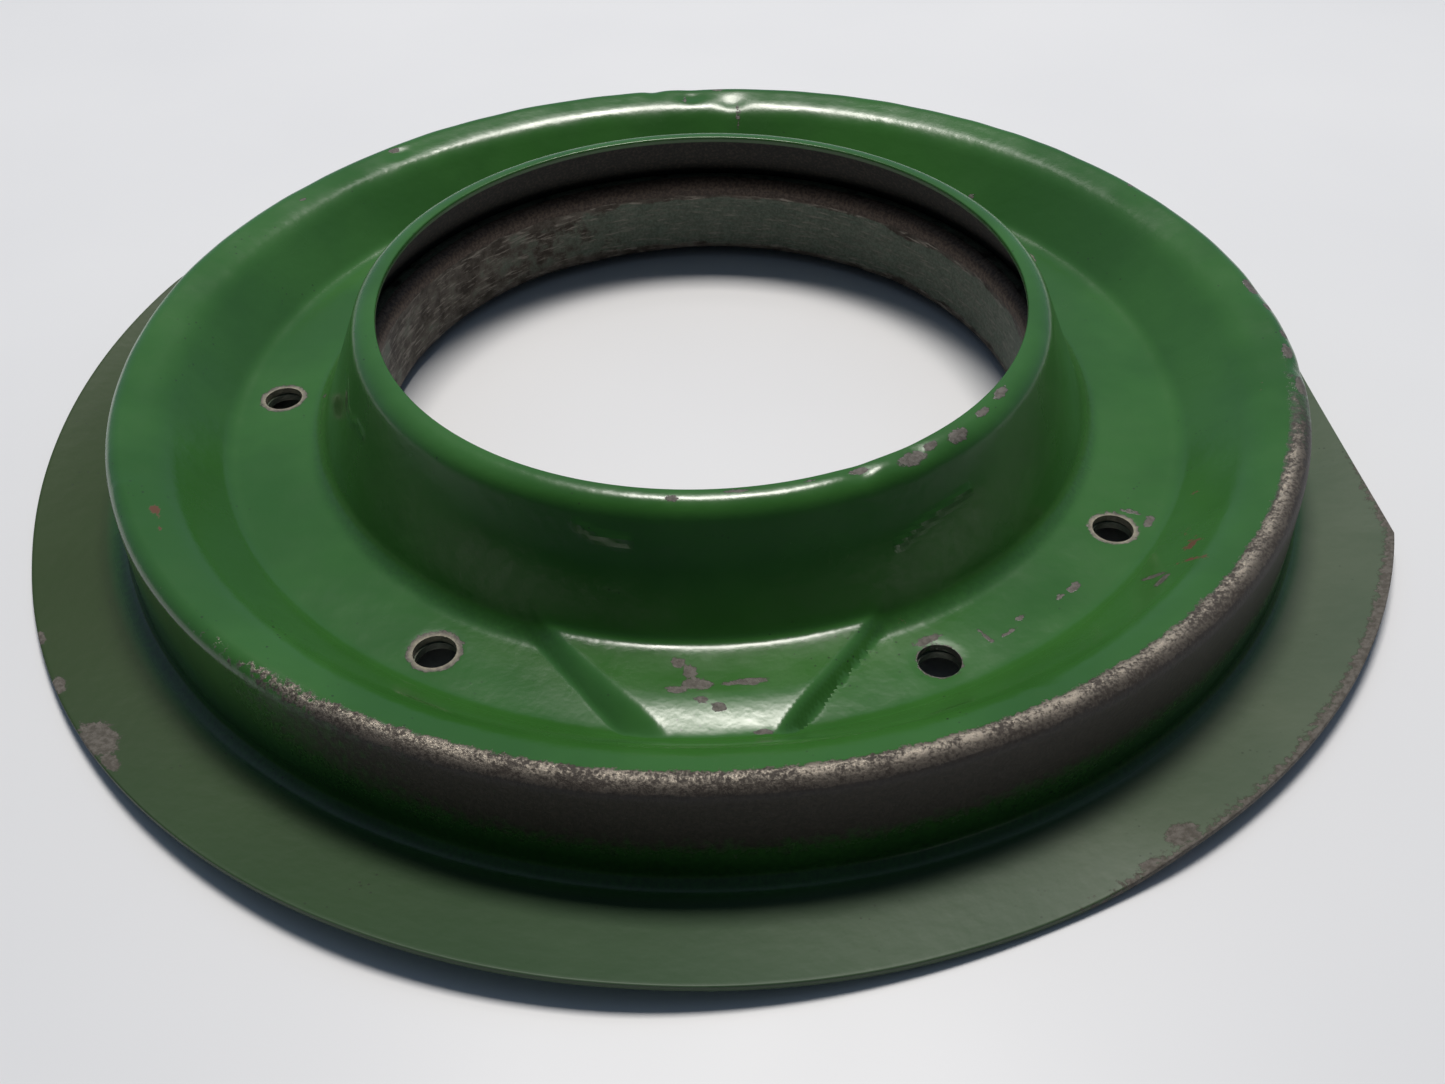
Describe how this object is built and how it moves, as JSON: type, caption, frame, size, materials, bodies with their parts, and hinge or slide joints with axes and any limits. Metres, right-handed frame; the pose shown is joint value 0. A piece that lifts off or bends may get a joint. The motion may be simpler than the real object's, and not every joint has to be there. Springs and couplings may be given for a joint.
{
  "type": "ring shield",
  "caption": "Painted pressed-steel ring shield: a conical collar inside a flat bolting band, a dished rim and a thin flange cut straight on one side, lined by an inner sleeve ring.",
  "frame": {"origin": "on the collar's axis, at the plane that the flange's underside rests on, within 2.2 mm of the box's bottom centre", "axes": "+Z along the collar's axis, away from the flange; +X towards the side of the flange that is cut off straight; the raised pad faces -Y"},
  "size_m": [0.3117, 0.316, 0.0385],
  "materials": {
    "green_paint": "gloss paint, worn to bare steel along the crest",
    "worn_steel": "dull worn steel with green overspray"
  },
  "bodies": {
    "root": {"shield": "green_paint", "inner_ring": "worn_steel"}
  },
  "joints": []
}
